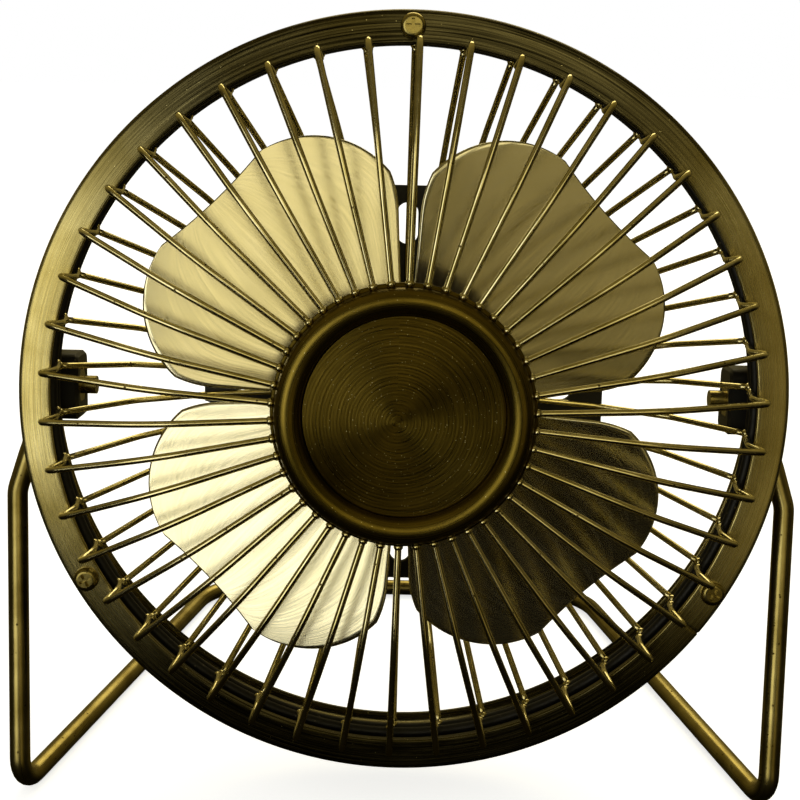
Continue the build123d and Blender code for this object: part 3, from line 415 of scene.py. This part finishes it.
def moulded(name, dark, light, roughness, lift=0.000015):
    """Painted metal, plastic or rubber: mottled tone, fine orange-peel bump and dust."""
    material, tree, shader, place, _ = blank(name)
    cloud = use(tree, MOTTLE, Vector=place, Size=220.0, Dark=dark, Light=light)
    peel = node(tree, "ShaderNodeTexNoise", {
        "Vector": place, "Scale": 2500.0, "Detail": 3.0, "Roughness": 0.5})
    dust = use(tree, SPECKS, Vector=place, Size=1300.0, Share=0.03)
    dusty = mixed(tree, ranged(tree, dust.outputs["Mask"], 0.0, 0.35), cloud.outputs["Color"],
                  (0.22, 0.18, 0.08, 1))
    tree.links.new(dusty, shader.inputs["Base Color"])
    tree.links.new(ranged(tree, peel.outputs[0], roughness * 0.8, min(1.0, roughness * 1.25)),
                   shader.inputs["Roughness"])
    bumped(tree, shader, peel.outputs[0], lift)
    return material


def tone(red, green, blue):
    """Colour from its usual 0 to 255 values."""
    linear = [((c / 255 + 0.055) / 1.055) ** 2.4 if c > 10 else c / 255 / 12.92
              for c in (red, green, blue)]
    return (*linear, 1.0)


finishes = {
    # The ring's base colour carries painted shade, near black in streaks at the top and bottom of the
    # head.
    "ring_enamel": brushed_metal("ring_enamel", tone(168, 152, 88), tone(236, 224, 164), 0.26,
                                 60.0, 3200.0, 0.000006, stretch=0.6, speck=0.01, painted_shade=0.97),
    "cap_metal": brushed_metal("cap_metal", tone(92, 78, 24), tone(136, 118, 52), 0.28,
                               25.0, 3000.0, 0.000005, stretch=0.4, speck=0.02),
    "spun_disc": brushed_metal("spun_disc", tone(66, 54, 12), tone(116, 98, 38), 0.30,
                               30.0, 4200.0, 0.000008, stretch=0.8, speck=0.05),
    "blade_metal": brushed_metal("blade_metal", tone(230, 224, 190), tone(242, 237, 212), 0.18,
                                 60.0, 2600.0, 0.000002),
    "wire_plating": plated_wire("wire_plating", tone(192, 180, 122), tone(232, 222, 176), 0.18),
    "stand_rod": plated_wire("stand_rod", tone(134, 120, 66), tone(176, 162, 102), 0.28),
    "black_steel": moulded("black_steel", tone(4, 3, 1), tone(9, 7, 3), 0.5),
    "bright_steel": brushed_metal("bright_steel", tone(120, 106, 54), tone(176, 162, 100), 0.25,
                                  300.0, 900.0, 0.000003, on_map=False),
    "black_plastic": moulded("black_plastic", tone(4, 3, 2), tone(9, 8, 4), 0.45),
    "switch_plastic": moulded("switch_plastic", tone(12, 11, 8), tone(26, 24, 18), 0.32),
    "white_plastic": moulded("white_plastic", tone(206, 200, 178), tone(226, 221, 203), 0.4),
    "rubber": moulded("rubber", tone(16, 15, 12), tone(30, 28, 22), 0.75, lift=0.00006),
    "bronze_bush": brushed_metal("bronze_bush", tone(120, 84, 34), tone(190, 146, 72), 0.35,
                                 900.0, 2500.0, 0.00002, on_map=False),
    "ferrite": moulded("ferrite", tone(24, 23, 22), tone(44, 42, 40), 0.7),
    "core_steel": brushed_metal("core_steel", tone(90, 88, 82), tone(150, 147, 138), 0.4,
                                300.0, 4000.0, 0.00003, on_map=False),
    "copper_wire": brushed_metal("copper_wire", tone(150, 74, 32), tone(214, 122, 62), 0.3,
                                 500.0, 6000.0, 0.00008, on_map=False),
    "lead_cover": moulded("lead_cover", tone(120, 20, 14), tone(150, 32, 22), 0.5),
}


def dress_nodes():
    """Give each carried-over node the finish of its own slot."""
    for carried in frame["nodes"].values():
        for place in carried.material_slots:
            place.material = finishes[place.material.name.split(".")[0]]


# --- Ring housing ---
def make_ring():
    """Ring housing: a closed profile of flange, wall and rolled rear bead carried round the axis.

    The welded seam is a narrow bell-shaped dip of the face and the wall at one clock angle.
    """
    edge, bead = 1.0 * MM, 0.9 * MM
    lip = 0.25 * MM
    face_r = np.linspace(FLANGE_IN_R + lip, RING_R - edge, 12)
    crown = -0.06 * MM * np.sin(np.pi * (face_r - face_r[0]) / (face_r[-1] - face_r[0]))
    wall = np.linspace(edge, RING_DEPTH - bead, 14)
    bead_middle = (RING_R - bead, RING_DEPTH - bead)
    inner = np.linspace(RING_DEPTH - 2 * bead, SHEET * 1.5, 10)
    profile = np.concatenate([
        arc_points((FLANGE_IN_R + lip, lip), lip, 180, 270, 4),
        np.stack([face_r, crown], -1)[1:-1],
        arc_points((RING_R - edge, edge), edge, -90, 0, 7),
        np.stack([np.full(12, RING_R), wall[1:-1]], -1),
        arc_points(bead_middle, bead, 0, 230, 16),
        np.stack([np.full(10, RING_R - SHEET), inner], -1),
        arc_points((RING_R - 2 * SHEET, 2 * SHEET), SHEET, 0, -90, 5),
        np.array([[FLANGE_IN_R + lip, SHEET]]),
        arc_points((FLANGE_IN_R + lip, SHEET - lip), lip, 90, 180, 4)[1:],
    ])
    face_part = np.arange(len(profile)) < 3 + 10 + 5
    wall_part = (np.arange(len(profile)) >= 3 + 10 + 3) & (profile[:, 0] > RING_R - 0.2 * MM)
    clock = np.sort(np.concatenate([
        np.linspace(0, 360, 540, endpoint=False),
        SEAM_CLOCK + np.array([-0.3, -0.2, -0.12, 0.12, 0.2, 0.3]),
    ]))[:, None]
    dip = 0.3 * MM * np.exp(-((clock - SEAM_CLOCK) / 0.15) ** 4)
    points = head_point(profile[:, 0] - dip * wall_part, clock, profile[:, 1] + dip * face_part)
    length = np.linalg.norm(np.diff(profile, axis=0), axis=1).sum()
    ring = surface("ring_shell", points[None], uv=(2 * math.pi * RING_R, length))
    seated(ring, "head", finishes["ring_enamel"], "ring_enamel", "housing_ring")


# --- Grilles ---
def beads(radius, depth, clocks, half_along, half_across):
    """Weld beads: small ellipsoids at one radius and depth, one at each clock angle."""
    north = np.linspace(0, np.pi, 7)[:, None]
    round_ = np.linspace(0, 2 * np.pi, 10, endpoint=False)
    out = np.sin(north) * np.cos(round_)
    side = np.sin(north) * np.sin(round_)
    back = np.cos(north) + 0 * round_
    turn = np.radians(clocks)[:, None, None]
    outward = np.sin(turn)[..., None] * RIGHT + np.cos(turn)[..., None] * UP
    sideways = np.cos(turn)[..., None] * RIGHT - np.sin(turn)[..., None] * UP
    middle = head_point(np.full(len(clocks), radius), clocks, depth)[:, None, None]
    return (middle + outward * out[..., None] * half_along + sideways * side[..., None] * half_across
            + REAR * back[..., None] * half_across)


def fan_wires(route, clocks):
    """Copies of a wire's (radius, depth) route at clock angles: tubes with closed ends."""
    path = head_point(route[:, 0], clocks[:, None], route[:, 1])
    turn = np.radians(clocks)[:, None, None]
    sideways = np.cos(turn) * RIGHT - np.sin(turn) * UP
    return tube(path, WIRE_R, 10, sideways)


def hoop(depth):
    """Wire hoop square to the fan axis: a circle carried round it."""
    return revolve(arc_points((HOOP_R, depth), HOOP_WIRE_R, 0, 330, 12), 300)


def make_front_grille():
    """Front grille: 46 bent wires, their welded hoop behind the flange and the weld beads."""
    corners = [(LEG_END_R / MM, FRONT_HOOP_DEPTH / MM), (65.1, 0.4), (66.9, -5.4),
               (46.0, -10.5), (23.55, -9.42)]
    route = rounded_path(np.array(corners) * MM, (4 * MM, 1.3 * MM, 50 * MM), 1.0 * MM)
    clocks = FRONT_CLOCK + WIRE_STEP * np.arange(WIRES)
    wires = surface("front_wires", fan_wires(route, clocks), uv=(0.062, 0.004), wrap=(False, True))
    seated(wires, "head", finishes["wire_plating"], "wire_plating", "front_grille")
    # The hoop is plated like its wires but is drawn in black steel: painted shade.
    front_hoop = surface("front_hoop", hoop(FRONT_HOOP_DEPTH), uv=(0.41, 0.006))
    seated(front_hoop, "head", finishes["black_steel"], "black_steel")
    cap_beads = beads(CAP_LIP_R - 0.1 * MM, -9.45 * MM, clocks, 0.8 * MM, 0.92 * MM)
    hoop_beads = beads(LEG_END_R + 0.1 * MM, FRONT_HOOP_DEPTH, clocks, 0.8 * MM, 0.9 * MM)
    welds = surface("front_welds", np.concatenate([cap_beads, hoop_beads]), uv=(0.003, 0.005),
                    wrap=(False, True))
    seated(welds, "head", finishes["wire_plating"], "wire_plating")


def make_rear_grille():
    """Rear grille: 46 wires that slope back to the bracket, with their hoop and weld beads."""
    route = rounded_path(np.array([(66.4, 8.9), (54.0, 19.5), (39.0, 24.06), (22.0, 24.06)]) * MM,
                         (6 * MM, 12 * MM), 1.6 * MM)
    clocks = REAR_CLOCK + WIRE_STEP * np.arange(WIRES)
    wires = surface("rear_wires", fan_wires(route, clocks), uv=(0.05, 0.004), wrap=(False, True))
    seated(wires, "head", finishes["wire_plating"], "wire_plating", "rear_grille")
    # The hoop is plated like its wires but is drawn in black steel: painted shade.
    rear_hoop = surface("rear_hoop", hoop(REAR_HOOP_DEPTH), uv=(0.41, 0.006))
    seated(rear_hoop, "head", finishes["black_steel"], "black_steel")
    hoop_beads = beads(LEG_END_R + 0.1 * MM, REAR_HOOP_DEPTH, clocks, 0.8 * MM, 0.9 * MM)
    welds = surface("rear_welds", hoop_beads, uv=(0.003, 0.005), wrap=(False, True))
    seated(welds, "head", finishes["wire_plating"], "wire_plating")


# --- Cap and its turned disc ---
def make_cap():
    """Cap of the front grille: lip, outer wall, half-round rim, inner wall and floor, revolved."""
    lip_r, rim_out, rim_in = 24.2 * MM, 23.45 * MM, 18.55 * MM
    lip, shoulder, floor = -8.8 * MM, -9.95 * MM, -9.2 * MM
    middle, roll = (rim_out + rim_in) / 2, (rim_out - rim_in) / 2
    half = np.radians(np.linspace(0, 180, 33))
    outer = np.stack([middle + roll * np.cos(half), shoulder - roll * np.sin(half)], -1)
    inside = np.stack([middle - (roll - SHEET) * np.cos(half),
                       shoulder - (roll - SHEET) * np.sin(half)], -1)
    profile = np.concatenate([
        np.array([(rim_out, lip - 0.3 * MM)]), outer, np.array([(rim_in, floor), (0.0, floor)]),
        np.array([(0.0, floor + SHEET), (rim_in + SHEET, floor + SHEET)]), inside,
        np.array([(rim_out - SHEET, lip + SHEET), (lip_r - 0.15 * MM, lip + SHEET),
                  (lip_r, lip + SHEET - 0.15 * MM), (lip_r, lip + 0.15 * MM),
                  (lip_r - 0.15 * MM, lip), (rim_out + 0.25 * MM, lip)]),
    ])
    cap = surface("cap_shell", revolve(profile, 240), uv=(0.13, 0.06))
    seated(cap, "head", finishes["cap_metal"], "cap_metal", "hub_cap")


def make_disc():
    """Turned disc: rings of cut grooves about a point a little off its middle.

    The height is a sum of two sines of the distance from the point that the grooves run
    round, faded out at the chamfered edge.
    """
    off = np.array([-1.2, -1.0]) * MM
    rows, turns = 170, 300
    turn = np.linspace(0, 2 * np.pi, turns, endpoint=False)[:, None]
    heading = np.stack([np.sin(turn), np.cos(turn)], -1)
    toward = (heading * off).sum(-1)
    edge = DISC_R - 0.2 * MM
    reach = -toward + np.sqrt(toward ** 2 + edge ** 2 - (off ** 2).sum())
    away = reach * np.linspace(0, 1, rows)
    spot = off + heading * away[..., None]
    groove = np.sin(2 * np.pi * away / (0.62 * MM)) + 0.6 * np.sin(2 * np.pi * away / (0.97 * MM) + 1)
    fade = np.clip((reach - away) / (0.5 * MM), 0, 1)
    front = -9.7 * MM + 0.006 * MM * groove * fade
    rim = spot[:, -1:] * DISC_R / edge
    plan = np.concatenate([spot, rim, rim, 0 * rim], axis=1)
    depth = np.concatenate([front, np.full((turns, 1), -9.5 * MM), np.full((turns, 2), -9.2 * MM)], 1)
    points = CENTRE + plan[..., :1] * RIGHT + plan[..., 1:] * UP + depth[..., None] * REAR
    disc = surface("cap_disc", points[None], uv=(0.12, 0.0185), wrap=(True, False))
    seated(disc, "head", finishes["spun_disc"], "spun_disc", "hub_disc")


# --- Impeller ---
def blade_outline():
    """Half-widths and heights of a blade, from its root to its outer edge.

    A straight side, an arc that bends it upwards, and a large corner arc to the outer edge.
    """
    root, kink = np.array([9.0, 10.0]) * MM, np.array([24.3, 26.9]) * MM
    side = np.linspace(root, kink, 12)
    heading = math.atan2(*(kink - root)[::-1])
    swing = heading + np.radians(np.linspace(0, 22, 7)[1:])
    arc = kink + 20 * MM * np.stack([np.sin(swing) - math.sin(heading),
                                     math.cos(heading) - np.cos(swing)], -1)
    start, end = arc[-1], np.array([CORNER_X, BLADE_TOP])
    through = np.array([CORNER_X + 0.72 * CORNER_R, BLADE_TOP - 0.29 * CORNER_R])
    chords = np.stack([through - start, end - start])
    middle = start + np.linalg.solve(2 * chords, (chords ** 2).sum(-1))
    bend = np.linalg.norm(start - middle)
    first = math.atan2(*(start - middle)[::-1])
    last = math.atan2(*(end - middle)[::-1])
    turn = np.linspace(first, last, 24)[1:-1]
    corner = middle + bend * np.stack([np.cos(turn), np.sin(turn)], -1)
    return np.concatenate([side, arc, corner, end[None]])


def make_impeller():
    """Impeller: a flat disc and four paddles of one sheet, each turned about its own radius.

    A paddle's section at each height is a thin bar with rounded edges, as wide as the
    outline there, pitched from 9.5 degrees at the root to 6.3 at the tip. The outer edge is
    hollowed slightly in its middle.
    """
    outline = blade_outline()
    width, height = outline[:, 0][:, None], outline[:, 1][:, None]
    half = BLADE_THICK / 2
    across = np.sin(np.linspace(-np.pi / 2, np.pi / 2, 33))
    soft = np.clip(1 - 0.25 * (1 - np.sqrt(np.clip(1 - ((np.abs(across) - 0.985) / 0.015)
                                                   .clip(0) ** 2, 0, 1))) * 4, 0, 1)
    x = np.concatenate([across, across[::-1]]) * width
    z = np.concatenate([-half * soft, half * soft[::-1]]) + 0 * width
    dip = 0.8 * MM * np.clip((height - 40 * MM) / (12 * MM), 0, 1) * (1 - (x / CORNER_X) ** 2)
    y = height - dip.clip(0)
    pitch = np.radians(np.interp(height, np.array([9, 26, 40, 55]) * MM, [9.5, 9.0, 7.8, 6.3]))
    side = x * np.cos(pitch) - z * np.sin(pitch)
    depth = BLADE_DEPTH + x * np.sin(pitch) + z * np.cos(pitch)
    side, y, depth = (np.concatenate([a[:1], a, a[-1:]]) for a in (side, y, depth))
    flat_ends = [(0, width[0, 0], pitch[0, 0]), (-1, width[-1, 0], pitch[-1, 0])]
    for row, wide, lean in flat_ends:
        bar = np.concatenate([across, across[::-1]]) * wide
        side[row], depth[row] = bar * math.cos(lean), BLADE_DEPTH + bar * math.sin(lean)
    turn = np.radians(BLADE_CLOCK + 360 / BLADES * np.arange(BLADES))[:, None, None, None]
    outward = np.sin(turn) * RIGHT + np.cos(turn) * UP
    sideways = np.cos(turn) * RIGHT - np.sin(turn) * UP
    paddles = CENTRE + side[..., None] * sideways + y[..., None] * outward + depth[..., None] * REAR
    blades = surface("fan_blades", paddles, uv=(0.045, 0.1), wrap=(False, True))
    seated(blades, "rotor", finishes["blade_metal"], "blade_metal", "impeller")
    r = 13.0 * MM
    plate = revolve(np.array([(1.03 * MM, -half), (r - 0.1 * MM, -half), (r, -half * 0.7),
                              (r, half * 0.7), (r - 0.1 * MM, half), (1.03 * MM, half)])
                    + np.array([0, BLADE_DEPTH]), 96)
    spider = surface("blade_plate", plate, uv=(0.08, 0.03))
    seated(spider, "rotor", finishes["blade_metal"], "blade_metal")


# --- Stand ---
def make_stand():
    """Stand: one bent rod whose two ends flatten into the eyes of the tilt pivots.

    The section is an ellipse along the route. From an end inwards its width follows the
    round eye, then the flat plate, and it eases into the round rod at the neck.
    """
    rod, eye, plate, flat = 2.0 * MM, 4.4 * MM, 3.5 * MM, 0.7 * MM
    foot_ahead, foot_x = 21.6 * MM, 74.4 * MM
    corner_x, corner_behind = 49.6 * MM, 84.0 * MM
    leg = unit(np.array([0.0, -foot_ahead, -(PIVOT[2] - rod)]))

    def leg_point(side, x, low):
        """Point on the leg's line at x, a height low below the pivot."""
        return PIVOT + RIGHT * side * x + leg * (low / -leg[2])

    def half_frame(side):
        """Corners of the route on one side, from the end of the eye to the rear corner."""
        return [
            leg_point(side, 73.6 * MM, -eye * -leg[2]), leg_point(side, 74.0 * MM, 12.0 * MM),
            leg_point(side, 76.5 * MM, 20.5 * MM),
            np.array([side * foot_x, PIVOT[1] - foot_ahead, rod]),
            np.array([side * corner_x, PIVOT[1] + corner_behind, rod]),
        ]

    bends = [7 * MM, 7 * MM, 4.6 * MM, 16 * MM]
    route = rounded_path(half_frame(1) + half_frame(-1)[::-1], bends + bends[::-1], 0.9 * MM)
    gone = np.concatenate([[0], np.cumsum(np.linalg.norm(np.diff(route, axis=0), axis=1))])
    end = np.minimum(gone, gone[-1] - gone)
    ease = np.clip((end - eye - 5.5 * MM) / (8.5 * MM), 0, 1)
    ease = ease ** 2 * (3 - 2 * ease)
    round_eye = np.sqrt(np.clip(eye ** 2 - (end - eye) ** 2, (0.4 * MM) ** 2, None))
    across = np.where(end < eye, round_eye, np.maximum(round_eye, plate))
    wide = across * (1 - ease) + rod * ease
    thick = flat * (1 - ease) + rod * ease
    behind = np.clip((route[:, 1] - PIVOT[1] + 5 * MM) / (40 * MM), 0, 1)[:, None]
    aside = (1 - behind) * RIGHT + behind * np.array([0.0, 0.0, 1.0])
    body = tube(route, rod, 20, aside, flat=np.stack([thick, wide], -1))
    rod_piece = surface("stand_rod", body[None], uv=(gone[-1], 2 * math.pi * rod), wrap=(False, True))
    seated(rod_piece, "stand", finishes["stand_rod"], "stand_rod", "stand")


# --- Studio ---
def make_floor():
    """Plain pale floor: a wide flat disc just under the stand."""
    turn = np.linspace(0, 2 * np.pi, 64, endpoint=False)
    reach = np.linspace(0, 4.0, 9)[:, None]
    flat = np.stack([reach * np.cos(turn), reach * np.sin(turn), 0 * reach * turn - 0.1 * MM], -1)
    floor = surface("floor", flat[None], wrap=(False, True))
    material, tree, shader, place, _ = blank("pale_floor")
    cloud = use(tree, MOTTLE, Vector=place, Size=3.0, Dark=tone(240, 240, 238),
                Light=tone(246, 246, 244))
    tree.links.new(cloud.outputs["Color"], shader.inputs["Base Color"])
    tree.links.new(cloud.outputs["Color"], shader.inputs["Emission Color"])
    shader.inputs["Emission Strength"].default_value = 0.80
    shader.inputs["Roughness"].default_value = 0.9
    shader.inputs["Specular IOR Level"].default_value = 0.1
    floor.data.materials.append(material)
    floor.visible_glossy = False


def make_world():
    """Surroundings: white to the eye and as soft light; dim and warm where metal mirrors them."""
    world = bpy.data.worlds.new("studio")
    bpy.context.scene.world = world
    world.use_nodes = True
    tree = world.node_tree
    tree.nodes.clear()
    heading = node(tree, "ShaderNodeTexCoord").outputs["Generated"]
    rise = node(tree, "ShaderNodeVectorMath", {0: heading, 1: (0.0, 0.5, 0.87)},
                operation="DOT_PRODUCT")
    shade = node(tree, "ShaderNodeMapRange", {
        "Value": rise.outputs["Value"], "From Min": -0.4, "From Max": 1.0},
        interpolation_type="SMOOTHSTEP")
    colour = mixed(tree, shade.outputs[0], tone(14, 10, 1), tone(138, 123, 70))
    mirrored = node(tree, "ShaderNodeBackground", {"Color": colour, "Strength": 1.0})
    soft = node(tree, "ShaderNodeBackground", {"Color": (1, 1, 1, 1), "Strength": 0.38})
    white = node(tree, "ShaderNodeBackground", {"Color": (1, 1, 1, 1), "Strength": 1.0})
    ray = node(tree, "ShaderNodeLightPath").outputs
    light = node(tree, "ShaderNodeMixShader", {
        0: ray["Is Glossy Ray"], 1: soft.outputs[0], 2: mirrored.outputs[0]})
    both = node(tree, "ShaderNodeMixShader", {
        0: ray["Is Camera Ray"], 1: light.outputs[0], 2: white.outputs[0]})
    node(tree, "ShaderNodeOutputWorld", {"Surface": both.outputs[0]})


def softbox(name, azimuth, height, distance, size, power, colour):
    """Area light aimed at the pivot, azimuth degrees right of the front and height above."""
    light = bpy.data.lights.new(name, "AREA")
    light.shape = "RECTANGLE"
    light.size, light.size_y = size
    light.energy = power
    light.color = colour
    lamp = bpy.data.objects.new(name, light)
    bpy.context.scene.collection.objects.link(lamp)
    a, e = math.radians(azimuth), math.radians(height)
    back = Vector((math.sin(a) * math.cos(e), -math.cos(a) * math.cos(e), math.sin(e)))
    lamp.location = Vector(PIVOT) + back * distance
    lamp.rotation_euler = (-back).to_track_quat("-Z", "Y").to_euler()
    lamp.visible_camera = False


CAMERA_LENS, CAMERA_SENSOR = 60.3, 36.0
CAMERA_PLACE = (-1.5, -259.0, 67.7)      # from the tilt pivot, in millimetres
CAMERA_DOWN, CAMERA_ASIDE, CAMERA_ROLL = 15.0, 0.0031, -1.4


def make_camera():
    """Camera close in front of the fan and a little above it, looking down at its middle.

    It is turned by a small roll about its own line of sight.
    """
    camera = bpy.data.cameras.new("camera")
    camera.lens = CAMERA_LENS
    camera.sensor_width = CAMERA_SENSOR
    camera.clip_start = 0.01
    eye = bpy.data.objects.new("camera", camera)
    bpy.context.scene.collection.objects.link(eye)
    eye.location = Vector(PIVOT) + Vector(CAMERA_PLACE) * MM
    down = math.radians(CAMERA_DOWN)
    heading = Vector((CAMERA_ASIDE * math.cos(down), math.cos(down), -math.sin(down)))
    roll = Quaternion(heading, math.radians(CAMERA_ROLL))
    eye.rotation_euler = (roll @ heading.to_track_quat("-Z", "Y")).to_euler()
    bpy.context.scene.camera = eye


dress_nodes()
make_ring()
make_front_grille()
make_rear_grille()
make_cap()
make_disc()
make_impeller()
make_stand()
make_floor()
make_world()
softbox("left_box", -27, 6, 0.9, (0.48, 0.55), 1.5, tone(255, 250, 228)[:3])
softbox("top_box", 9, 19, 0.9, (0.50, 0.38), 0.64, tone(255, 240, 186)[:3])
softbox("right_box", 28, -4, 0.9, (0.40, 0.40), 0.13, tone(255, 230, 150)[:3])
softbox("back_box", 170, 50, 1.0, (0.8, 0.6), 4.0, tone(255, 240, 190)[:3])
make_camera()
bpy.context.scene.view_settings.view_transform = "Standard"
